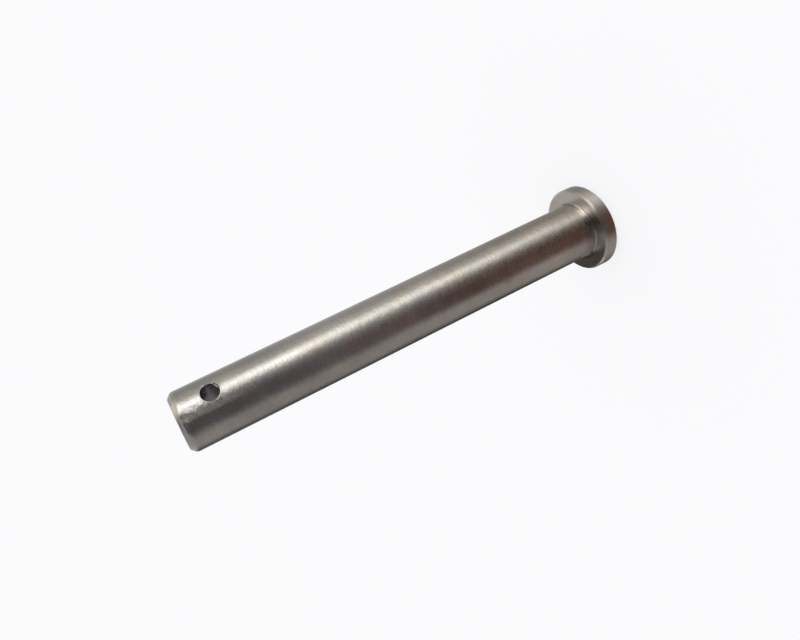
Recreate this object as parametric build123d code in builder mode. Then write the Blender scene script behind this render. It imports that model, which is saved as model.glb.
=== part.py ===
from build123d import *
import math
import os

# Clutch lever pivot pin: a headed clevis pin, turned and ground from one bar,
# with a cross-hole for a split pin near its plain end.
#
# Frame: millimetres, +Z up. The pin stands on its head. The origin is the
# centre of the head's outer face, and +Z runs along the shank to the plain
# end. The cross-hole runs along Y.

# ---- driving dimensions (mm) -------------------------------------------------
SHANK_D = 9.525          # ground shank, 3/8 in
UNDER_HEAD = 73.0        # underside of the head to the plain end, 2 7/8 in
HEAD_D = 14.3            # flange head, 9/16 in
HEAD_T = 2.4             # thickness of the head, 3/32 in
HEAD_TOP_CHAMFER = 0.30  # corner of the outer face
HEAD_RIM_CHAMFER = 0.28  # corner between the rim and the underside
NECK_FILLET = 0.28       # radius left by the tool where the shank meets the head
END_CHAMFER = 0.80       # 45 degree lead at the plain end

HOLE_D = 2.84            # split-pin hole, for a 3/32 in split pin
HOLE_FROM_END = 5.80     # centre of the hole to the plain end
HOLE_BREAK = 0.10        # edge break at both mouths of the hole

# ---- derived -------------------------------------------------------------------
SHANK_R = SHANK_D / 2
HEAD_R = HEAD_D / 2
TOTAL = HEAD_T + UNDER_HEAD
HOLE_Z = TOTAL - HOLE_FROM_END

os.makedirs("parts", exist_ok=True)

# ---- the pin ----------------------------------------------------------------------
with BuildPart() as pivot_pin:
    # half section, turned about Z
    with BuildSketch(Plane.XZ) as section:
        with BuildLine():
            Polyline(
                (0, 0),
                (HEAD_R - HEAD_TOP_CHAMFER, 0),
                (HEAD_R, HEAD_TOP_CHAMFER),
                (HEAD_R, HEAD_T - HEAD_RIM_CHAMFER),
                (HEAD_R - HEAD_RIM_CHAMFER, HEAD_T),
                (SHANK_R + NECK_FILLET, HEAD_T),
            )
            RadiusArc(
                (SHANK_R + NECK_FILLET, HEAD_T),
                (SHANK_R, HEAD_T + NECK_FILLET),
                NECK_FILLET,
            )
            Polyline(
                (SHANK_R, HEAD_T + NECK_FILLET),
                (SHANK_R, TOTAL - END_CHAMFER),
                (SHANK_R - END_CHAMFER, TOTAL),
                (0, TOTAL),
                (0, 0),
            )
        make_face()
    revolve(axis=Axis.Z)

    # split-pin hole, drilled right through across the shank
    with Locations(Plane(origin=(0, 0, HOLE_Z), x_dir=(1, 0, 0), z_dir=(0, 1, 0))):
        Hole(radius=HOLE_D / 2)

    # edge break at the two mouths
    mouths = (
        pivot_pin.edges()
        .filter_by(lambda e: abs(e.center().Z - HOLE_Z) < HOLE_D)
        .filter_by(lambda e: e.bounding_box().size.X > HOLE_D * 0.4
                   and e.bounding_box().size.Y < SHANK_R)
    )
    chamfer(mouths, length=HOLE_BREAK)

pivot_pin.part.label = "pivot_pin"

# The pin weighs what its steel weighs: volume is one closed body.
bar = math.pi * SHANK_R**2 * UNDER_HEAD + math.pi * HEAD_R**2 * HEAD_T
print("section volume estimate mm3", round(bar, 1), "solid", round(pivot_pin.part.volume, 1))
print("hole mouths broken:", len(mouths), "solids:", len(pivot_pin.part.solids()))

export_step(pivot_pin.part, "parts/pivot_pin.step")
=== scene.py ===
import bpy
import math
import numpy as np
from mathutils import Matrix, Vector


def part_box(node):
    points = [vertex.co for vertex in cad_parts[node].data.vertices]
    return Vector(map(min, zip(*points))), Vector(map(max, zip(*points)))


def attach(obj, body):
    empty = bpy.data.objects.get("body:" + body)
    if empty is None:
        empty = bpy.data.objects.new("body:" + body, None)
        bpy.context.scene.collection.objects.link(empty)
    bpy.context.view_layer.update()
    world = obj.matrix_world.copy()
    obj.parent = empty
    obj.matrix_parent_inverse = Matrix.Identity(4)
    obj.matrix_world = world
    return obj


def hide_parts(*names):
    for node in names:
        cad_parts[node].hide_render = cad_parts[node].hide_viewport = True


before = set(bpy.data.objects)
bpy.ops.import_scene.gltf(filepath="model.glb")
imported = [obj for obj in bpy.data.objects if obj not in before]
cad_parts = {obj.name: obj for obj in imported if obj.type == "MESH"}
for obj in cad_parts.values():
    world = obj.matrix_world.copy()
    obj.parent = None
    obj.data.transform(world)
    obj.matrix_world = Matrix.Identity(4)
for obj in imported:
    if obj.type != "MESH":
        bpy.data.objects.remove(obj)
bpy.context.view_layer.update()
scene = bpy.context.scene
MM = 0.001

SHANK_R = 4.7625
HEAD_R = 7.15
HEAD_T = 2.4
TOTAL = 75.4
HEAD_TOP_CHAMFER = 0.30
HEAD_RIM_CHAMFER = 0.28
NECK_FILLET = 0.28
END_CHAMFER = 0.80
HOLE_R = 1.42
HOLE_Z = 69.6

lo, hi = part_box("pivot_pin")
assert abs((hi.z - lo.z) - TOTAL * MM) < 2e-5 and abs(hi.x - HEAD_R * MM) < 2e-5, (lo, hi)


# ================================================================== mesh
def arc(c, r, a0, a1, n):
    """Points of an arc, with outward normals, from angle a0 to a1 (degrees)."""
    out = []
    for i in range(n + 1):
        a = math.radians(a0 + (a1 - a0) * i / n)
        out.append((c[0] + r * math.cos(a), c[1] + r * math.sin(a), math.cos(a), math.sin(a)))
    return out


def line(p, q, n, normal, skip_ends=True):
    """Points along a straight part of the section. The ends belong to the arcs beside it."""
    out = []
    for i in range(n + 1):
        if skip_ends and i in (0, n):
            continue
        t = i / n
        out.append((p[0] + (q[0] - p[0]) * t, p[1] + (q[1] - p[1]) * t, normal[0], normal[1]))
    return out


def rounded(prev, corner, nxt, r, n):
    """The corner of a section, rounded with a small radius: points and outward normals."""
    a = np.array(prev, float) - corner
    b = np.array(nxt, float) - corner
    a, b = a / np.linalg.norm(a), b / np.linalg.norm(b)
    half = math.acos(max(-1, min(1, float(a @ b)))) / 2
    back = r / math.tan(half)
    mid = (a + b) / np.linalg.norm(a + b)
    c = np.array(corner, float) + mid * (r / math.sin(half))
    p0 = np.array(corner, float) + a * back
    p1 = np.array(corner, float) + b * back
    a0 = math.atan2(*(p0 - c)[::-1])
    a1 = math.atan2(*(p1 - c)[::-1])
    while a1 - a0 > math.pi:
        a1 -= 2 * math.pi
    while a1 - a0 < -math.pi:
        a1 += 2 * math.pi
    return arc(c, r, math.degrees(a0), math.degrees(a1), n)


# Section from the centre of the head's outer face to the centre of the plain end.
R, T, L = SHANK_R, HEAD_T, TOTAL
k1, k2, k3 = HEAD_TOP_CHAMFER, HEAD_RIM_CHAMFER, END_CHAMFER
corners = [
    (0.0, 0.0),
    (HEAD_R - k1, 0.0),
    (HEAD_R, k1),
    (HEAD_R, T - k2),
    (HEAD_R - k2, T),
]
r_face = rounded(corners[0], corners[1], corners[2], 0.10, 6)
r_edge = rounded(corners[1], corners[2], corners[3], 0.08, 6)
r_rim = rounded(corners[2], corners[3], corners[4], 0.05, 6)
r_under = rounded(corners[3], corners[4], (R, T), 0.05, 6)
neck = [(x, z, -nx, -nz) for x, z, nx, nz in arc((R + NECK_FILLET, T + NECK_FILLET), NECK_FILLET, 270, 180, 10)]
r_lead = rounded((R, 0), (R, L - k3), (R - k3, L), 0.85, 8)
r_end = rounded((R, L - k3), (R - k3, L), (0, L), 0.34, 7)

Z1, Z2, NZ = HOLE_Z - 2.2, HOLE_Z + 2.2, 32      # the window round each mouth of the hole
N = 384                                          # columns round the pin
HALF = 28                                        # columns from the middle of a window to its side

section = []
section += line((0, 0), (r_face[0][0], 0), 9, (0, -1))
section += r_face
section += line(r_face[-1][:2], r_edge[0][:2], 3, (math.sqrt(0.5), -math.sqrt(0.5)))
section += r_edge
section += line(r_edge[-1][:2], r_rim[0][:2], 7, (1, 0))
section += r_rim
section += line(r_rim[-1][:2], r_under[0][:2], 3, (math.sqrt(0.5), math.sqrt(0.5)))
section += r_under
section += line(r_under[-1][:2], neck[0][:2], 7, (0, 1))
section += neck
section += line((R, neck[-1][1]), (R, Z1 - 2.0), 42, (1, 0))
section += [(R, Z1 - 2.0 + 2.0 * i / 12, 1.0, 0.0) for i in range(12)]
row_window = len(section)
section += [(R, Z1 + (Z2 - Z1) * i / NZ, 1.0, 0.0) for i in range(NZ + 1)]
section += line((R, Z2), (R, r_lead[0][1]), 16, (1, 0))
section += r_lead
section += line(r_lead[-1][:2], r_end[0][:2], 5, (math.sqrt(0.5), math.sqrt(0.5)))
section += r_end
section += line((r_end[-1][0], L), (0, L), 9, (0, 1))

verts, norms, faces, mats = [], [], [], []


def add(p, n):
    verts.append(p)
    n = np.array(n, float)
    norms.append(n / np.linalg.norm(n))
    return len(verts) - 1


turn = [2 * math.pi * i / N for i in range(N)]
grid = []
for x, z, nx, nz in section:
    grid.append([add((x * math.cos(a), x * math.sin(a), z), (nx * math.cos(a), nx * math.sin(a), nz)) for a in turn])
pole0 = add((0, 0, 0), (0, 0, -1))
pole1 = add((0, 0, L), (0, 0, 1))


def inside_window(row, col):
    """True for a cell of the grid that a mouth's own patch takes the place of."""
    if not row_window <= row < row_window + NZ:
        return False
    for mid in (N // 4, 3 * N // 4):
        if mid - HALF <= col < mid + HALF:
            return True
    return False


SHANK, TURNED, HOLE = 0, 1, 2
first_shank = next(i for i, s in enumerate(section) if abs(s[0] - R) < 1e-6)
last_shank = max(i for i, s in enumerate(section) if abs(s[0] - R) < 1e-6)
for i in range(len(section) - 1):
    m = SHANK if first_shank <= i < last_shank else TURNED
    for j in range(N):
        if inside_window(i, j):
            continue
        k = (j + 1) % N
        faces.append((grid[i][j], grid[i][k], grid[i + 1][k], grid[i + 1][j]))
        mats.append(m)
for j in range(N):
    k = (j + 1) % N
    faces.append((pole0, grid[0][k], grid[0][j]))
    mats.append(TURNED)
    faces.append((pole1, grid[-1][j], grid[-1][k]))
    mats.append(TURNED)


# ---- the split-pin hole: a patch from each window's border to the mouth, the broken edge, and the drilled wall
def wrap(a):
    return (a + math.pi) % (2 * math.pi) - math.pi


def bump_at(theta, centre, width):
    d = wrap(theta - centre) / width
    return math.exp(-d * d)


def ripple(theta, seed):
    """A small uneven wave round the mouth, the same each run."""
    s = 0.0
    for k, (amp, ph) in enumerate(((0.5, 1.3), (0.35, 4.1), (0.3, 0.4), (0.22, 2.2), (0.18, 5.3), (0.12, 3.7))):
        s += amp * math.sin((k * 2 + 3) * theta + ph * seed)
    return s


def break_width(theta, side):
    """Width of the broken edge. It is widest where the drill's burr was dressed off."""
    if side < 0:
        w = 0.080 - 0.055 * bump_at(theta, math.radians(0), 0.75) + 0.07 * bump_at(theta, math.radians(-64), 0.45)
        w += 0.012 * ripple(theta, 1.0)
    else:
        w = 0.10 + 0.05 * bump_at(theta, math.radians(120), 0.6) + 0.012 * ripple(theta, 1.7)
    return max(0.03, w)


# The drill's burr, folded a little into the near mouth: distance from the hole's radius, and depth, by s.
BURR = [(0.14, 0.0), (0.115, 0.03), (0.075, 0.12), (0.02, 0.10), (-0.05, 0.0), (-0.14, -0.02), (-0.23, 0.02), (-0.28, 0.10), (-0.20, 0.22)]


def burr_at(theta, side):
    """How much of the burr there is at an angle, 0 to 1."""
    return math.exp(-((wrap(theta - math.radians(-65)) / 0.44) ** 4)) if side < 0 else 0.0


def burr_profile(s):
    i = min(7, max(0, int(s * 8)))
    t = s * 8 - i
    (r0, d0), (r1, d1) = BURR[i], BURR[i + 1]
    return r0 + (r1 - r0) * t, d0 + (d1 - d0) * t


def lip(theta, rho, side):
    """Height of the faint raised burr just outside the broken edge."""
    out = rho - HOLE_R - break_width(theta, side)
    ridge = math.exp(-(((out - 0.09) / 0.09) ** 2))
    if side < 0:
        h = 0.004 + 0.016 * bump_at(theta, math.radians(-70), 0.40) + 0.014 * bump_at(theta, math.radians(105), 0.5) + 0.004 * ripple(theta, 2.3)
    else:
        h = 0.006 + 0.012 * bump_at(theta, math.radians(150), 0.7)
    return max(0.0, h) * ridge


def mouth_point(theta, s, side):
    """s < 0: on the shank, -s outside the broken edge. 0 to 1: the broken edge. Above 1: the wall, by depth in mm past it."""
    b = break_width(theta, side)
    depth = 0.0
    if s <= 0:
        rho = HOLE_R + b - s
    elif s <= 1:
        a = s * math.pi / 2
        k = burr_at(theta, side)
        rb, db = burr_profile(s)
        wave = 1 + 0.05 * ripple(theta * 2, 3.1)
        rho = HOLE_R + (1 - k) * b * (1 - math.sin(a)) ** 0.9 + k * rb * wave
        depth = (1 - k) * b * 1.1 * (1 - math.cos(a)) + k * db
    else:
        rho = HOLE_R
    x = rho * math.cos(theta)
    z = HOLE_Z + rho * math.sin(theta)
    y = math.sqrt(R * R - x * x) + lip(theta, rho, side) - depth
    if s > 1:
        y = math.sqrt(R * R - x * x) - b * 1.1 - (s - 1)
    return np.array((x, side * y, z))


def mouth_normal(theta, s, side):
    e = 1e-3
    if s > 1.0:
        return np.array((-math.cos(theta), 0, -math.sin(theta)))
    dt = mouth_point(theta + e, s, side) - mouth_point(theta - e, s, side)
    s0, s1 = (s - e, s + e) if s < 1 - e else (s - 2 * e, s)
    ds = mouth_point(theta, s1, side) - mouth_point(theta, s0, side)
    return np.cross(dt, ds) * outward[side]


outward = {-1: 1.0, 1: 1.0}
for side in (-1, 1):
    if mouth_normal(0.3, -0.1, side)[1] * side < 0:
        outward[side] = -1.0

border = []                                      # the window's border as (row, column offset), once round
for c in range(-HALF, HALF):
    border.append((0, c))
for r in range(NZ):
    border.append((r, HALF))
for c in range(HALF, -HALF, -1):
    border.append((NZ, c))
for r in range(NZ, 0, -1):
    border.append((r, -HALF))
M = len(border)
seg = 2 * math.pi / N
# On the -Y side, columns run towards +X as the angle grows, so a column offset is an arc towards +X.
flat = [(R * seg * c, Z1 + (Z2 - Z1) * r / NZ - HOLE_Z) for r, c in border]
theta = [math.atan2(b, a) for a, b in flat]

FAN = [0.0, 0.012, 0.026, 0.042, 0.06, 0.085, 0.12, 0.17, 0.24, 0.34, 0.46, 0.6, 0.74, 0.88]
EDGE = [i / 8 for i in range(1, 9)]
rings = []
for side in (-1, 1):
    mid = 3 * N // 4 if side < 0 else N // 4
    outer = []
    for r, c in border:
        col = (mid + c) % N if side < 0 else (mid - c) % N
        outer.append(grid[row_window + r][col])
    mine = [outer]
    for w in reversed(FAN):
        ring = []
        for k in range(M):
            t = theta[k]
            b = break_width(t, side)
            rho = HOLE_R + b
            ax, az = R * math.asin(rho * math.cos(t) / R), rho * math.sin(t)
            px, pz = ax + (flat[k][0] - ax) * w, az + (flat[k][1] - az) * w
            x, z = R * math.sin(px / R), pz
            rr, tt = math.hypot(x, z), math.atan2(z, x)
            y = math.sqrt(R * R - x * x) + lip(tt, rr, side)
            if rr - HOLE_R - b < 0.35:
                n = mouth_normal(tt, -(rr - HOLE_R - break_width(tt, side)), side)
            else:
                n = (x, side * y, 0)
            ring.append(add((x, side * y, HOLE_Z + z), n))
        mine.append(ring)
    for s in EDGE:
        mine.append([add(mouth_point(t, s, side), mouth_normal(t, s, side)) for t in theta])
    # the wall, to the middle of the shank
    for f in (0.02, 0.05, 0.10, 0.17, 0.26, 0.37, 0.5, 0.64, 0.8):
        ring = []
        for t in theta:
            start = mouth_point(t, 1.0, side)
            w = HOLE_R if f > 0.03 else 0.4 * HOLE_R + 0.6 * math.hypot(start[0], start[2] - HOLE_Z)
            ring.append(add((w * math.cos(t), start[1] * (1 - f), HOLE_Z + w * math.sin(t)), (-math.cos(t), 0, -math.sin(t))))
        mine.append(ring)
    if side < 0:
        middle = []
        for t in theta:
            middle.append(add((HOLE_R * math.cos(t), 0.0, HOLE_Z + HOLE_R * math.sin(t)), (-math.cos(t), 0, -math.sin(t))))
        mine.append(middle)
        rings += mine
    else:
        rings += list(reversed(mine))
steps_in = 1 + len(FAN) + len(EDGE)
for i in range(len(rings) - 1):
    from_end = min(i, len(rings) - 2 - i)
    m = SHANK if from_end < len(FAN) + len(EDGE) else HOLE
    for k in range(M):
        q = (k + 1) % M
        faces.append((rings[i][k], rings[i][q], rings[i + 1][q], rings[i + 1][k]))
        mats.append(m)

# ---- handling dents near the plain end: hollows and rises of about 0.02 mm, strongest beside the hole
def ramp(v, a, b):
    t = np.clip((v - a) / (b - a), 0, 1)
    return t * t * (3 - 2 * t)


def corner_number(i, j, k):
    """A scrambled whole number for each corner of a unit grid."""
    def turned(n, by):
        return (n << np.uint32(by)) | (n >> np.uint32(32 - by))
    start = np.uint32((0xDEADBEEF + (3 << 2) + 13) & 0xFFFFFFFF)
    a, b, c = (np.asarray(n).astype(np.int64).astype(np.uint32) + start for n in (i, j, k))
    c = (c ^ b) - turned(b, 14)
    a = (a ^ c) - turned(c, 11)
    b = (b ^ a) - turned(a, 25)
    c = (c ^ b) - turned(b, 16)
    a = (a ^ c) - turned(c, 4)
    b = (b ^ a) - turned(a, 14)
    return (c ^ b) - turned(b, 24)


def gradient_noise(q):
    """The same smooth noise as the materials use, from -1 to 1."""
    cell = np.floor(q)
    f = q - cell
    fade = f * f * f * (f * (f * 6 - 15) + 10)
    total = 0.0
    for dx in (0, 1):
        for dy in (0, 1):
            for dz in (0, 1):
                h = corner_number(cell[:, 0] + dx, cell[:, 1] + dy, cell[:, 2] + dz) & np.uint32(15)
                x, y, z = f[:, 0] - dx, f[:, 1] - dy, f[:, 2] - dz
                u = np.where(h < 8, x, y)
                v = np.where(h < 4, y, np.where((h == 12) | (h == 14), x, z))
                g = np.where(h & 1, -u, u) + np.where(h & 2, -v, v)
                w = (fade[:, 0] if dx else 1 - fade[:, 0]) * (fade[:, 1] if dy else 1 - fade[:, 1]) * (fade[:, 2] if dz else 1 - fade[:, 2])
                total = total + w * g
    return 0.982 * total


DENT_SHARE = 0.8023                               # what the two coarse octaves are of the whole dent noise


def dent(q):
    """Height of the dents at points of the shank, mm."""
    at = np.degrees(np.arctan2(q[:, 1], q[:, 0]))
    handled = ramp(at, -126, -119) * (1 - ramp(at, -106, -95))
    handled = ramp(q[:, 2], 65.5, 72.5) * (0.16 + 0.84 * handled) * (1 - ramp(q[:, 2], 74.1, 74.6))
    coarse = 0.5 * (gradient_noise(q * 1.05) + 0.55 * gradient_noise(q * 2.10)) / 1.55
    # and one knock on the edge of the lead, below the hole
    knock = np.exp(-(((at + 113.0) / 6.5) ** 2)) * ramp(q[:, 2], 72.8, 74.3) * (1 - ramp(q[:, 2], 74.7, 75.3))
    return 0.110 * DENT_SHARE * handled * coarse - 0.055 * knock


with np.errstate(over="ignore"):
    vv, nn = np.array(verts, float), np.array(norms, float)
    on_shank = sorted({v for f, m in zip(faces, mats) if m == SHANK for v in f} | {v for row in grid[last_shank:last_shank + 16] for v in row})
    on_shank = [v for v in on_shank if vv[v, 2] > 65.5]
    q = vv[on_shank]
    n = nn[on_shank]
    slope = np.stack([(dent(q + e) - dent(q - e)) / 0.004 for e in np.eye(3) * 0.002], 1)
    slope -= (slope * n).sum(1, keepdims=True) * n
    out = q * (1, 1, 0)
    out /= np.linalg.norm(out, axis=1, keepdims=True)
    vv[on_shank] = q + out * dent(q)[:, None]
    n = n - slope * (n * out).sum(1, keepdims=True)
    nn[on_shank] = n / np.linalg.norm(n, axis=1, keepdims=True)
    verts, norms = [tuple(v) for v in vv], list(nn)

used = sorted({v for f in faces for v in f})      # grid points inside the windows aren't used
renum = {v: i for i, v in enumerate(used)}
verts = np.array([verts[v] for v in used], float) * MM
norms = np.array([norms[v] for v in used], float)
faces = [tuple(renum[v] for v in f) for f in faces]

# every face's winding agrees with its corners' normals
fixed = []
for f in faces:
    p = verts[list(f)]
    n = np.cross(p[1] - p[0], p[-1] - p[0]) + np.cross(p[2] - p[1], p[0] - p[1])
    fixed.append(f if n @ norms[list(f)].sum(0) >= 0 else tuple(reversed(f)))

mesh = bpy.data.meshes.new("pin_turned")
mesh.from_pydata([tuple(v) for v in verts], [], fixed)
mesh.polygons.foreach_set("material_index", mats)
mesh.polygons.foreach_set("use_smooth", [True] * len(fixed))
mesh.validate(verbose=False)
mesh.normals_split_custom_set_from_vertices([tuple(n) for n in norms])
mesh.update()
pin = bpy.data.objects.new("pin_turned", mesh)
scene.collection.objects.link(pin)


# ================================================================== materials
class Nodes:
    """A short way to write node trees."""

    def __init__(self, tree):
        self.t = tree
        tree.nodes.clear()

    def new(self, kind, **props):
        n = self.t.nodes.new(kind)
        for k, v in props.items():
            setattr(n, k, v)
        return n

    def put(self, socket, value):
        if isinstance(value, bpy.types.NodeSocket):
            self.t.links.new(value, socket)
        elif value is not None:
            socket.default_value = value

    def math(self, op, a, b=None, c=None, clamp=False):
        n = self.new("ShaderNodeMath", operation=op, use_clamp=clamp)
        for i, v in enumerate((a, b, c)):
            self.put(n.inputs[i], v)
        return n.outputs[0]

    def vec(self, op, a, b=None, scale=None):
        n = self.new("ShaderNodeVectorMath", operation=op)
        self.put(n.inputs[0], a)
        if b is not None:
            self.put(n.inputs[1], b)
        if scale is not None:
            self.put(n.inputs["Scale"], scale)
        return n.outputs["Value"] if op in ("LENGTH", "DOT_PRODUCT", "DISTANCE") else n.outputs["Vector"]

    def span(self, value, a, b, c=0.0, d=1.0, kind="SMOOTHSTEP"):
        n = self.new("ShaderNodeMapRange", interpolation_type=kind, clamp=True)
        self.put(n.inputs["Value"], value)
        for name, v in (("From Min", a), ("From Max", b), ("To Min", c), ("To Max", d)):
            self.put(n.inputs[name], v)
        return n.outputs["Result"]

    def noise(self, vector, scale, detail=2.0, rough=0.5, kind="3D", w=None, distortion=0.0):
        n = self.new("ShaderNodeTexNoise", noise_dimensions=kind)
        if vector is not None:
            self.put(n.inputs["Vector"], vector)
        if w is not None:
            self.put(n.inputs["W"], w)
        self.put(n.inputs["Scale"], scale)
        self.put(n.inputs["Detail"], detail)
        self.put(n.inputs["Roughness"], rough)
        self.put(n.inputs["Distortion"], distortion)
        return n.outputs["Fac"]

    def mix(self, fac, a, b, blend="MIX"):
        n = self.new("ShaderNodeMix", data_type="RGBA", blend_type=blend)
        self.put(n.inputs["Factor"], fac)
        self.put(n.inputs[6], a)
        self.put(n.inputs[7], b)
        return n.outputs[2]

    def mixf(self, fac, a, b):
        n = self.new("ShaderNodeMix", data_type="FLOAT")
        self.put(n.inputs["Factor"], fac)
        self.put(n.inputs[2], a)
        self.put(n.inputs[3], b)
        return n.outputs[0]

    def bump(self, height, distance, strength=1.0, normal=None):
        n = self.new("ShaderNodeBump")
        self.put(n.inputs["Strength"], strength)
        self.put(n.inputs["Distance"], distance)
        self.put(n.inputs["Height"], height)
        if normal is not None:
            self.put(n.inputs["Normal"], normal)
        return n.outputs["Normal"]


def mm_position(g):
    """The point in the part's frame, in millimetres, and its x, y, z."""
    co = g.new("ShaderNodeTexCoord")
    p = g.vec("SCALE", co.outputs["Object"], scale=1000.0)
    s = g.new("ShaderNodeSeparateXYZ")
    g.put(s.inputs[0], p)
    return p, s.outputs[0], s.outputs[1], s.outputs[2]


def between(g, value, a0, a1, b1, b0):
    """1 from a1 to b1, falling to 0 at a0 and at b0."""
    return g.math("MULTIPLY", g.span(value, a0, a1), g.span(value, b0, b1))


def stretched(g, p, sx, sy, sz):
    return g.vec("MULTIPLY", p, (sx, sy, sz))


STEEL = (0.62, 0.585, 0.545, 1)
STEEL_DARK = (0.50, 0.465, 0.43, 1)
STEEL_LIGHT = (0.70, 0.67, 0.63, 1)


def steel_shank():
    """Centreless-ground shank: fine marks round it, a fine grain, and a few handling marks near the plain end."""
    m = bpy.data.materials.new("ground_shank_steel")
    m.use_nodes = True
    g = Nodes(m.node_tree)
    out = g.new("ShaderNodeOutputMaterial")
    b = g.new("ShaderNodeBsdfPrincipled")
    g.put(out.inputs[0], b.outputs[0])
    p, x, y, z = mm_position(g)

    marks = g.noise(stretched(g, p, 0.35, 0.35, 9.0), 1.0, detail=3.0, rough=0.6)
    fine = g.noise(stretched(g, p, 1.6, 1.6, 26.0), 1.0, detail=2.0, rough=0.6)
    grain = g.noise(p, 5.2, detail=2.0, rough=0.65)
    cloud = g.noise(stretched(g, p, 0.22, 0.22, 0.10), 1.0, detail=3.0, rough=0.55)
    waves = g.noise(stretched(g, p, 0.46, 0.46, 0.74), 1.0, detail=4.0, rough=0.62)
    dashes = g.noise(stretched(g, p, 1.0, 1.0, 3.4), 1.0, detail=3.0, rough=0.68)
    hue = g.noise(stretched(g, p, 0.30, 0.30, 0.34), 1.0, detail=3.0, rough=0.6)
    tint = g.noise(stretched(g, g.vec("ADD", p, (37.0, 11.0, 5.0)), 0.34, 0.34, 0.40), 1.0, detail=3.0, rough=0.6)
    patchy = g.noise(stretched(g, g.vec("ADD", p, (5.0, 23.0, 9.0)), 0.22, 0.22, 0.34), 1.0, detail=3.0, rough=0.55)
    near_end = g.span(z, 65.5, 72.5)
    # the coarse part of the dents is in the mesh; this is the fine rest
    dents = g.noise(p, 1.05, detail=2.5, rough=0.55)
    dents = g.math("SUBTRACT", dents, g.math("MULTIPLY", DENT_SHARE, g.noise(p, 1.05, detail=1.0, rough=0.55)))
    turn_at = g.math("MULTIPLY", g.math("ARCTAN2", y, x), 180 / math.pi)
    handled = g.math("MULTIPLY", g.span(turn_at, -126, -119), g.span(turn_at, -95, -106))
    handled = g.math("MULTIPLY", near_end, g.math("ADD", 0.16, g.math("MULTIPLY", 0.84, handled)))
    scuffs = g.noise(p, 2.3, detail=3.0, rough=0.65)
    scuffed = g.math("MULTIPLY", handled, g.span(scuffs, 0.40, 0.60))
    worn = g.math("MULTIPLY", g.math("MULTIPLY", g.span(turn_at, -124, -119), g.span(turn_at, -110, -116)), g.span(z, 63.0, 69.0))
    # painted highlight: a lighter patch on the shank just above the head
    neck_painted_highlight = g.math("MULTIPLY", g.span(z, 3.7, 2.9), g.math("MULTIPLY", g.span(turn_at, -106, -97), g.span(turn_at, -70, -82)))

    tone = g.mix(g.span(cloud, 0.35, 0.65), STEEL_DARK, STEEL_LIGHT)
    tone = g.mix(0.30, STEEL, tone)
    speck = g.span(grain, 0.30, 0.72)
    tone = g.mix(g.math("MULTIPLY", 0.20, g.math("SUBTRACT", 1.0, speck)), tone, STEEL_DARK)
    tone = g.mix(g.math("MULTIPLY", 0.34, g.span(marks, 0.38, 0.62)), tone, STEEL_DARK)
    tone = g.mix(1.0, tone, g.mix(g.span(waves, 0.30, 0.70, kind="LINEAR"), (0.93, 0.93, 0.93, 1), (1.0, 1.0, 1.0, 1)), blend="MULTIPLY")
    tone = g.mix(1.0, tone, g.mix(g.span(hue, 0.36, 0.64, kind="LINEAR"), (0.952, 0.988, 1.0, 1), (1.0, 0.978, 0.936, 1)), blend="MULTIPLY")
    tone = g.mix(1.0, tone, g.mix(g.span(tint, 0.36, 0.64, kind="LINEAR"), (1.0, 0.972, 1.0, 1), (0.978, 1.0, 0.978, 1)), blend="MULTIPLY")
    # painted shade: the shank a little darker near the head and towards the plain end than between them
    painted_light_and_tone = g.math("MULTIPLY", g.span(z, 4.0, 12.0, 0.0, 0.085), g.span(z, 60.0, 51.0))
    painted_light_and_tone = g.math("ADD", 0.985, painted_light_and_tone)
    # painted highlight and painted shade: broad lighter and darker stretches along the ground surface, set where the
    # highlight and the dark band fall: how much, where along it, where round it
    for much, along, round_it in ((0.070, (8, 12, 31, 35), (-97, -93, -88, -82)), (0.055, (28, 36, 49, 55), (-90, -82, -45, -20)),
                                  (-0.070, (34, 41, 53, 56), (-102, -98, -89, -84)), (-0.085, (58.5, 62, 69, 71.5), (-103, -98, -84, -78)), (0.120, (54.5, 57.5, 60, 63), (-120, -106, -94, -87)),
                                  (-0.150, (20, 26, 32, 38), (-152, -142, -126, -119)), (0.170, (5, 9, 16, 21), (-165, -150, -132, -122)),
                                  (0.065, (63, 67, 76, 77), (-179, -172, -156, -146)), (-0.045, (66, 69, 73.5, 74.5), (-91, -88, -85, -80))):
        painted_light_and_tone = g.math("ADD", painted_light_and_tone, g.math("MULTIPLY", much, g.math("MULTIPLY", between(g, z, *along), between(g, turn_at, *round_it))))
    # painted highlight: two lighter patches on the lead edge below the hole
    painted_light_and_tone = g.math("ADD", painted_light_and_tone, g.math("MULTIPLY", 0.26, g.math("MULTIPLY", g.span(z, 73.0, 74.3), between(g, turn_at, -129, -121, -113, -107))))
    painted_light_and_tone = g.math("ADD", painted_light_and_tone, g.math("MULTIPLY", 0.25, g.math("MULTIPLY", g.span(z, 74.0, 74.45), between(g, turn_at, -138, -128, -122, -114))))
    # random patchy tone, stronger over the dark band
    depth = g.math("ADD", 0.04, g.math("MULTIPLY", 0.05, between(g, turn_at, -165, -150, -118, -106)))
    painted_light_and_tone = g.math("ADD", painted_light_and_tone, g.math("MULTIPLY", depth, g.span(patchy, 0.32, 0.68, -1.0, 1.0, kind="LINEAR")))
    tone = g.vec("SCALE", tone, scale=painted_light_and_tone)
    # painted highlight on the shank just above the head
    tone = g.mix(g.math("MULTIPLY", 0.85, neck_painted_highlight), tone, (0.93, 0.885, 0.82, 1))
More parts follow.
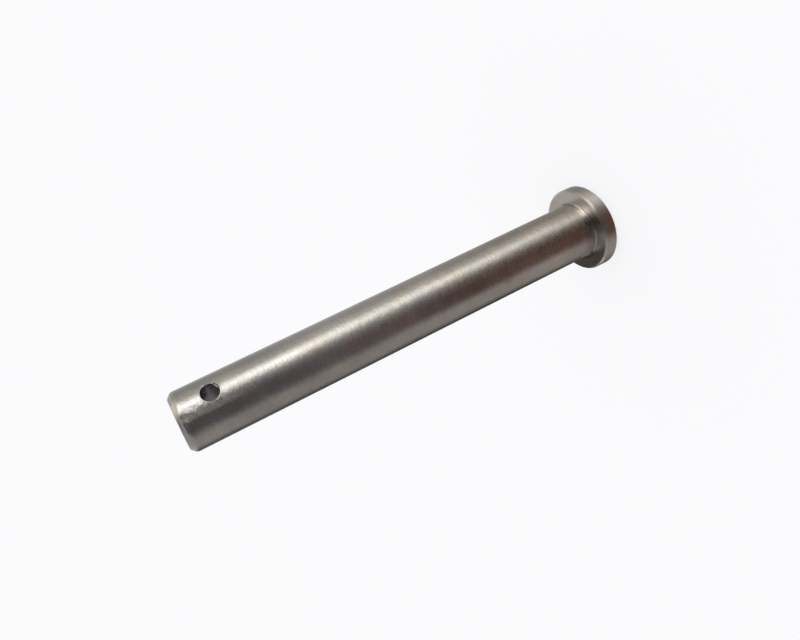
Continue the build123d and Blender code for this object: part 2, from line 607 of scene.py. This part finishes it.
    # round the near mouth of the hole: painted shade on the folded burr, painted shade in a crease outside the dressed
    # burr, two small pits painted as dark spots, and two lighter patches of painted highlight
    hz = g.math("SUBTRACT", z, HOLE_Z)
    hr = g.math("SQRT", g.math("ADD", g.math("MULTIPLY", x, x), g.math("MULTIPLY", hz, hz)))
    ht = g.math("MULTIPLY", g.math("ARCTAN2", hz, x), 180 / math.pi)
    front = g.span(y, -3.0, -4.0)
    # painted shade: the folded burr just inside the mouth darker
    tone = g.mix(g.math("MULTIPLY", g.span(hr, 1.45, 1.38), front), tone, (0.33, 0.325, 0.34, 1))
    crease_shade = g.math("MULTIPLY", g.span(hr, 1.37, 1.44), g.span(hr, 1.56, 1.49))
    crease_shade = g.math("MULTIPLY", crease_shade, g.span(g.math("ABSOLUTE", g.math("ADD", ht, 64)), 30, 18))
    tone = g.mix(g.math("MULTIPLY", crease_shade, front), tone, (0.14, 0.14, 0.13, 1))
    # two dark spots of painted shade for the pits, and two lighter patches of painted highlight beside the mouth
    for px, pz, size, colour in ((-1.42, -0.94, 0.16, (0.18, 0.17, 0.17, 1)), (-1.66, -0.96, 0.17, (0.14, 0.13, 0.13, 1)),
                                 (1.50, 0.58, 0.34, (0.70, 0.69, 0.72, 1)), (-1.32, -0.68, 0.42, (0.70, 0.67, 0.68, 1))):
        away = g.vec("DISTANCE", p, (px, -math.sqrt(SHANK_R ** 2 - px ** 2), HOLE_Z + pz))
        tone = g.mix(g.span(away, size, size * 0.4), tone, colour)
    g.put(b.inputs["Base Color"], tone)
    b.inputs["Metallic"].default_value = 1.0

    rough = g.math("ADD", 0.265, g.math("MULTIPLY", g.math("SUBTRACT", marks, 0.5), 0.10))
    uneven = g.math("SUBTRACT", 0.38, g.math("MULTIPLY", 0.13, between(g, turn_at, -156, -146, -120, -110)))
    rough = g.math("ADD", rough, g.math("MULTIPLY", g.math("SUBTRACT", dashes, 0.5), uneven))
    rough = g.math("ADD", rough, g.math("MULTIPLY", g.math("SUBTRACT", grain, 0.5), 0.12))
    rough = g.math("ADD", rough, g.math("MULTIPLY", scuffed, 0.06))
    rough = g.math("ADD", rough, g.math("MULTIPLY", worn, 0.34))
    g.put(b.inputs["Roughness"], rough)
    b.inputs["Anisotropic"].default_value = 0.45
    b.inputs["Anisotropic Rotation"].default_value = 0.25
    tan = g.new("ShaderNodeTangent", direction_type="RADIAL", axis="Z")
    g.put(b.inputs["Tangent"], tan.outputs[0])

    n1 = g.bump(marks, 0.0000022)
    n2 = g.bump(fine, 0.0000004, normal=n1)
    n3 = g.bump(grain, 0.0000016, normal=n2)
    n3 = g.bump(dashes, 0.0000170, normal=n3)
    n3 = g.bump(waves, 0.0000560, normal=n3)
    # a long shallow flat beside the hole
    flat_spot = g.math("MULTIPLY", g.span(turn_at, -107.4, -100.6, 1.0, 0.0), g.math("MULTIPLY", g.span(turn_at, -150, -125), g.span(z, 70.3, 72.2)))
    n3 = g.bump(flat_spot, 0.0000240, normal=n3)
    n4 = g.bump(dents, 0.0001100, strength=handled, normal=n3)
    n4 = g.bump(scuffs, 0.0000160, strength=handled, normal=n4)
    g.put(b.inputs["Normal"], n4)
    return m


def steel_turned():
    """Lathe-turned faces of the head and the plain end: rings about the axis, on every face that the tool cut."""
    m = bpy.data.materials.new("turned_head_steel")
    m.use_nodes = True
    g = Nodes(m.node_tree)
    out = g.new("ShaderNodeOutputMaterial")
    b = g.new("ShaderNodeBsdfPrincipled")
    g.put(out.inputs[0], b.outputs[0])
    p, x, y, z = mm_position(g)
    rad = g.math("SQRT", g.math("ADD", g.math("MULTIPLY", x, x), g.math("MULTIPLY", y, y)))
    both = g.math("ADD", rad, g.math("MULTIPLY", z, 1.0))
    ring_at = g.new("ShaderNodeCombineXYZ")
    g.put(ring_at.inputs[0], g.math("MULTIPLY", both, 1.0))
    g.put(ring_at.inputs[1], g.math("MULTIPLY", x, 0.06))
    g.put(ring_at.inputs[2], g.math("MULTIPLY", y, 0.06))
    marks = g.noise(ring_at.outputs[0], 7.0, detail=3.0, rough=0.6)
    grain = g.noise(p, 5.0, detail=2.0, rough=0.6)
    cloud = g.noise(stretched(g, p, 0.3, 0.3, 0.3), 1.0, detail=2.0)
    tone = g.mix(g.span(cloud, 0.35, 0.65), STEEL_DARK, STEEL_LIGHT)
    tone = g.mix(0.30, STEEL, tone)
    # painted shade in the corner under the head, heavier in some ranges round the pin; the rim's chamfer painted
    # lighter and darker by angle round the pin (painted highlight and painted shade)
    turn_at = g.math("MULTIPLY", g.math("ARCTAN2", y, x), 180 / math.pi)
    corner = g.math("MULTIPLY", g.span(rad, SHANK_R + 0.42, SHANK_R + 0.26), g.math("MULTIPLY", g.span(z, 2.2, 2.35), g.span(z, 3.0, 2.8)))
    # painted shade in the corner under the head, by angle round the pin
    neck_corner_shade = g.math("MULTIPLY", 0.45, between(g, turn_at, -138, -128, -107, -100))
    neck_corner_shade = g.math("ADD", neck_corner_shade, g.math("MULTIPLY", g.span(turn_at, 100, 118), g.span(turn_at, 180, 164)))
    neck_corner_shade = g.math("ADD", neck_corner_shade, g.math("MULTIPLY", g.span(turn_at, -72, -60, 0.0, 0.33), g.span(turn_at, -14, -30)))
    neck_corner_shade = g.math("ADD", neck_corner_shade, g.span(g.math("ABSOLUTE", turn_at), 158, 172, 0.0, 0.30))
    tone = g.mix(g.math("MULTIPLY", corner, g.math("MINIMUM", neck_corner_shade, 1.0)), tone, (0.165, 0.155, 0.150, 1))
    # painted shade: the head's underside darker in two ranges round the pin
    underside_shade = g.math("MULTIPLY", g.math("MULTIPLY", g.span(rad, 6.85, 6.3), g.span(z, 2.2, 2.35)), g.span(z, 3.0, 2.8))
    underside_shade = g.math("MULTIPLY", underside_shade, g.math("ADD", g.math("MULTIPLY", 0.22, between(g, turn_at, -172, -162, -152, -142)), g.math("MULTIPLY", g.span(turn_at, -130, -118, 0.0, 0.58), g.span(turn_at, -91, -106))))
    tone = g.mix(underside_shade, tone, (0.16, 0.15, 0.145, 1))
    # painted highlight and painted shade: the rim's chamfer lighter and darker by angle round the pin
    rim = g.math("MULTIPLY", g.span(g.math("ADD", rad, z), HEAD_R + HEAD_T - HEAD_RIM_CHAMFER - 0.06, HEAD_R + HEAD_T - HEAD_RIM_CHAMFER - 0.01), g.span(z, 5.0, 4.0))
    rim_light_and_shade = g.mix(g.span(turn_at, -112, -104), (0.600, 0.572, 0.550, 1), (0.530, 0.505, 0.485, 1))
    rim_light_and_shade = g.mix(g.span(turn_at, -66, -34), rim_light_and_shade, (0.840, 0.820, 0.820, 1))
    rim_light_and_shade = g.mix(g.math("MULTIPLY", 0.45, between(g, turn_at, -115, -110, -106, -100)), rim_light_and_shade, (0.340, 0.320, 0.300, 1))
    rim_light_and_shade = g.mix(between(g, turn_at, 100, 110, 136, 146), rim_light_and_shade, (0.10, 0.09, 0.085, 1))
    tone = g.mix(rim, tone, rim_light_and_shade)
    # painted shade: the head's outer face darker over one range round the pin
    side = g.math("MULTIPLY", g.span(rad, HEAD_R - 0.08, HEAD_R - 0.03), between(g, turn_at, -112, -103, -97, -87))
    tone = g.mix(g.math("MULTIPLY", 0.35, side), tone, (0.36, 0.335, 0.31, 1))
    # painted highlight: the lead and chamfer at the plain end lighter over one range round the pin
    tone = g.mix(g.math("MULTIPLY", g.span(z, 73.0, 74.3), g.math("MULTIPLY", g.span(z, 75.1, 74.9), between(g, turn_at, -137, -127, -112, -105))), tone, (0.82, 0.795, 0.78, 1))
    g.put(b.inputs["Base Color"], tone)
    b.inputs["Metallic"].default_value = 1.0
    rough = g.math("ADD", 0.29, g.math("MULTIPLY", g.math("SUBTRACT", marks, 0.5), 0.12))
    g.put(b.inputs["Roughness"], rough)
    b.inputs["Anisotropic"].default_value = 0.45
    b.inputs["Anisotropic Rotation"].default_value = 0.25
    tan = g.new("ShaderNodeTangent", direction_type="RADIAL", axis="Z")
    g.put(b.inputs["Tangent"], tan.outputs[0])
    n1 = g.bump(marks, 0.0000030)
    n2 = g.bump(grain, 0.0000050, normal=n1)
    g.put(b.inputs["Normal"], n2)
    return m


def mouth_wall_shade(g, x, y):
    """Painted shade: where the drilled wall is darker and bluer, close to either mouth."""
    return g.math("MULTIPLY", g.span(g.math("ABSOLUTE", y), 2.6, 4.6), g.span(x, 0.2, 1.3))


def steel_hole():
    """The drilled wall: darker, with the drill's spiral marks, and painted shade near the mouths and deep in the wall.
    """
    m = bpy.data.materials.new("drilled_hole_steel")
    m.use_nodes = True
    g = Nodes(m.node_tree)
    out = g.new("ShaderNodeOutputMaterial")
    b = g.new("ShaderNodeBsdfPrincipled")
    g.put(out.inputs[0], b.outputs[0])
    p, x, y, z = mm_position(g)
    marks = g.noise(stretched(g, p, 0.5, 5.0, 0.5), 1.6, detail=3.0, rough=0.6)
    grain = g.noise(p, 6.0, detail=2.0, rough=0.6)
    tone = g.mix(g.span(marks, 0.35, 0.7), (0.43, 0.415, 0.42, 1), (0.74, 0.715, 0.715, 1))
    # painted shade on the wall close to either mouth
    tone = g.mix(mouth_wall_shade(g, x, y), tone, (0.34, 0.32, 0.40, 1))
    # painted shade: a dark purple patch on one side of the wall, deep in the hole, broken up by blots
    round_at = g.math("MULTIPLY", g.math("ARCTAN2", g.math("SUBTRACT", z, HOLE_Z), x), 180 / math.pi)
    deep_wall_shade = g.math("MULTIPLY", g.math("MULTIPLY", g.span(round_at, 5, 22), g.span(round_at, 84, 64)), g.span(g.math("ABSOLUTE", y), 1.0, 2.3))
    blots = g.span(g.noise(p, 1.7, detail=3.0, rough=0.6), 0.36, 0.60)
    tone = g.mix(g.math("MULTIPLY", deep_wall_shade, g.math("ADD", 0.55, g.math("MULTIPLY", 0.45, blots))), tone, (0.080, 0.065, 0.150, 1))
    g.put(b.inputs["Base Color"], tone)
    b.inputs["Metallic"].default_value = 1.0
    g.put(b.inputs["Roughness"], g.math("ADD", 0.34, g.math("MULTIPLY", g.math("SUBTRACT", grain, 0.5), 0.2)))
    n1 = g.bump(marks, 0.000012)
    g.put(b.inputs["Normal"], g.bump(grain, 0.000006, normal=n1))
    return m


for maker in (steel_shank, steel_turned, steel_hole):
    mesh.materials.append(maker())
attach(pin, "root")
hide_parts("pivot_pin")

# ================================================================== floor
bpy.ops.mesh.primitive_circle_add(vertices=128, radius=1.5, fill_type="NGON", location=(0, 0, 0))
floor = bpy.context.object
floor.name = "floor"
fm = bpy.data.materials.new("pale_floor")
fm.use_nodes = True
g = Nodes(fm.node_tree)
o = g.new("ShaderNodeOutputMaterial")
d = g.new("ShaderNodeBsdfDiffuse")
d.inputs[0].default_value = (0.92, 0.92, 0.93, 1)
glow = g.new("ShaderNodeEmission")               # a lit table: most of its light comes from below
glow.inputs[0].default_value = (0.968, 0.968, 0.985, 1)
glow.inputs[1].default_value = 1.0
both = g.new("ShaderNodeMixShader")
both.inputs[0].default_value = 0.78
g.put(both.inputs[1], d.outputs[0])
g.put(both.inputs[2], glow.outputs[0])
g.put(o.inputs[0], both.outputs[0])
floor.data.materials.append(fm)
floor.visible_glossy = False

# ================================================================== studio light
# The metal sees a plain room with a soft strip light, a dark flag and two dim sides. The floor and the backdrop see
# an even pale dome. Angles are degrees about Z, and above the horizon.
world = bpy.data.worlds.new("studio")
scene.world = world
world.use_nodes = True
g = Nodes(world.node_tree)
co = g.new("ShaderNodeTexCoord")
sep = g.new("ShaderNodeSeparateXYZ")
g.put(sep.inputs[0], g.vec("NORMALIZE", co.outputs["Generated"]))
dx, dy, dz = sep.outputs
flat_len = g.math("SQRT", g.math("ADD", g.math("MULTIPLY", dx, dx), g.math("MULTIPLY", dy, dy)))
flat_len = g.math("MAXIMUM", flat_len, 1e-4)
ux, uy = g.math("DIVIDE", dx, flat_len), g.math("DIVIDE", dy, flat_len)
elev = g.math("MULTIPLY", g.math("ARCSINE", g.math("MAXIMUM", -1.0, g.math("MINIMUM", 1.0, dz))), 180 / math.pi)


def off_azimuth(a):
    """Degrees round Z from the azimuth a, 0 to 180."""
    c, s = math.cos(math.radians(a)), math.sin(math.radians(a))
    dot = g.math("ADD", g.math("MULTIPLY", ux, c), g.math("MULTIPLY", uy, s))
    return g.math("MULTIPLY", g.math("ARCCOSINE", g.math("MAXIMUM", -1.0, g.math("MINIMUM", 1.0, dot))), 180 / math.pi)


def panel(azimuth, half_width, soft):
    """1 inside a panel about that azimuth, falling to 0 over soft degrees at each side."""
    return g.span(off_azimuth(azimuth), half_width - soft, half_width + soft, 1.0, 0.0)


def add_light(total, mask, colour):
    return g.mix(mask, total, colour)


def by_height(low, painted_light_and_tone):
    """A colour that runs from 36 degrees below the horizon to just under it."""
    return g.mix(g.span(elev, -36, -4, kind="LINEAR"), (*low, 1), (*painted_light_and_tone, 1))


def up(a, b, first=1.0, last=0.0):
    """A mask that changes between two heights."""
    return g.span(elev, a, b, first, last)


def both_of(a, b):
    return g.math("MULTIPLY", a, b)


total = by_height((0.285, 0.262, 0.228), (0.445, 0.455, 0.465))
total = add_light(total, up(0, 30, 0.0, 1.0), (0.54, 0.52, 0.49, 1))
total = add_light(total, both_of(panel(2, 20, 12), both_of(up(-12, -1, 0.0, 1.0), up(28, 42))), (0.375, 0.352, 0.325, 1))
total = add_light(total, both_of(panel(112, 32, 14), up(24, 36, 0.0, 1.0)), (0.385, 0.385, 0.43, 1))
total = add_light(total, both_of(panel(42, 16, 14), up(-3, 8)), by_height((0.40, 0.385, 0.37), (0.55, 0.57, 0.60)))
# dim wall on the camera's left
wall = g.mix(up(-6, 4, 0.0, 1.0), by_height((0.348, 0.324, 0.316), (0.298, 0.283, 0.285)), (0.380, 0.366, 0.380, 1))
total = add_light(total, panel(163.5, 43.5, 16.5), wall)
# dark gap behind, below eye level
total = add_light(total, both_of(panel(96.5, 19.7, 18.3), both_of(up(2, 24), up(-38, -30, 0.35, 1.0))), by_height((0.045, 0.043, 0.045), (0.080, 0.080, 0.088)))
total = add_light(total, both_of(panel(77, 11, 8), both_of(up(-14, -4), up(-44, -36, 0.0, 1.0))), (0.045, 0.040, 0.040, 1))
# the ceiling, dimmer than the walls, with a soft lamp in it
total = add_light(total, up(66, 80, 0.0, 1.0), (0.315, 0.282, 0.292, 1))
lamp = (math.cos(math.radians(3)) * math.cos(math.radians(58)), math.sin(math.radians(3)) * math.cos(math.radians(58)), math.sin(math.radians(58)))
towards = g.math("ADD", g.math("ADD", g.math("MULTIPLY", dx, lamp[0]), g.math("MULTIPLY", dy, lamp[1])), g.math("MULTIPLY", dz, lamp[2]))
total = add_light(total, g.span(towards, math.cos(math.radians(19)), math.cos(math.radians(6))), (0.98, 0.92, 0.84, 1))
# dark flag round the camera, browner low down
flag = g.mix(up(-14, -5, 0.0, 1.0), by_height((0.116, 0.054, 0.037), (0.124, 0.128, 0.142)), (0.100, 0.102, 0.116, 1))
flag = g.mix(both_of(up(-23, -15, 0.0, 1.0), up(-14, -8)), flag, (0.150, 0.134, 0.140, 1))
flag = g.mix(up(-3, 40, 0.0, 1.0), flag, (0.080, 0.072, 0.070, 1))
total = add_light(total, both_of(panel(-137.5, 39.5, 17.5), up(70, 84)), flag)
total = add_light(total, both_of(panel(-124, 34, 11), both_of(up(36, 50, 0.0, 1.0), up(76, 88))), (0.050, 0.044, 0.042, 1))
# its edge beside the strip light catches some of that light
total = add_light(total, both_of(panel(-105, 12, 16), both_of(up(-26, -14, 0.0, 1.0), up(-8, -1))), (0.240, 0.235, 0.262, 1))
total = add_light(total, both_of(panel(-93, 5, 10), both_of(up(-27, -19, 0.0, 1.0), up(-9, -3))), (0.430, 0.420, 0.430, 1))
# shoulder beside the strip light
shoulder = g.mix(up(10, 38, 0.0, 1.0), by_height((0.510, 0.470, 0.420), (0.553, 0.565, 0.525)), (0.74, 0.70, 0.64, 1))
total = add_light(total, both_of(panel(-47.5, 22, 10.5), up(42, 66)), shoulder)
# the strip light, brightest at the horizon
key = by_height((0.700, 0.690, 0.680), (2.30, 2.28, 2.22))
key = g.mix(up(-8, -1, 0.0, 1.0), key, (2.72, 2.80, 2.92, 1))
key = g.mix(up(5, 44, 0.0, 1.0), key, (1.62, 1.55, 1.45, 1))
total = add_light(total, both_of(panel(-67.7, 13.1, 14.5), up(54, 72)), key)

light_path = g.new("ShaderNodeLightPath")
seen = g.mix(light_path.outputs["Is Diffuse Ray"], total, (1.04, 1.04, 1.045, 1))
seen = g.mix(light_path.outputs["Is Camera Ray"], seen, (0.965, 0.965, 0.98, 1))
bg = g.new("ShaderNodeBackground")
g.put(bg.inputs[0], seen)
bg.inputs[1].default_value = 1.0
wo = g.new("ShaderNodeOutputWorld")
g.put(wo.inputs[0], bg.outputs[0])
world.cycles.sampling_method = "NONE"

# A black card close to the head, as a photographer sets one, so that half of the head's underside reflects it. Only
# the metal's reflections see it.
card_mesh = bpy.data.meshes.new("black_card")
card_mesh.from_pydata([(11.7 * MM, 22.0 * MM, 7 * MM), (-3.5 * MM, 27.5 * MM, 7 * MM),
                       (-3.5 * MM, 27.5 * MM, 36 * MM), (11.7 * MM, 22.0 * MM, 36 * MM)], [], [(0, 1, 2, 3)])
card = bpy.data.objects.new("black_card", card_mesh)
scene.collection.objects.link(card)
cm = bpy.data.materials.new("black_card")
cm.use_nodes = True
g = Nodes(cm.node_tree)
o = g.new("ShaderNodeOutputMaterial")
e = g.new("ShaderNodeEmission")
e.inputs[0].default_value = (0.040, 0.028, 0.022, 1)
g.put(o.inputs[0], e.outputs[0])
card_mesh.materials.append(cm)
card.visible_camera = False
card.visible_diffuse = False
card.visible_shadow = False
card.visible_transmission = False

# ================================================================== camera
cam_data = bpy.data.cameras.new("camera")
cam = bpy.data.objects.new("camera", cam_data)
scene.collection.objects.link(cam)
cam_data.sensor_width = 36.0
cam_data.lens = 30.386
cam_data.shift_x = 0.075          # the photograph's optical axis lies left of its middle
cam_data.clip_start = 0.001
cam_data.clip_end = 20.0
right = Vector((-0.48768, 0.01996, -0.8728))
down = Vector((-0.72496, 0.54777, 0.4176))
ahead = Vector((0.48643, 0.83639, -0.25266))
basis = Matrix((right, -down, -ahead)).transposed().to_4x4()
cam.matrix_world = Matrix.Translation(Vector((-47.771, -89.277, 73.381)) * MM) @ basis
scene.camera = cam

scene.view_settings.view_transform = "Standard"
scene.view_settings.look = "None"
scene.view_settings.exposure = 0.0
scene.view_settings.gamma = 1.0
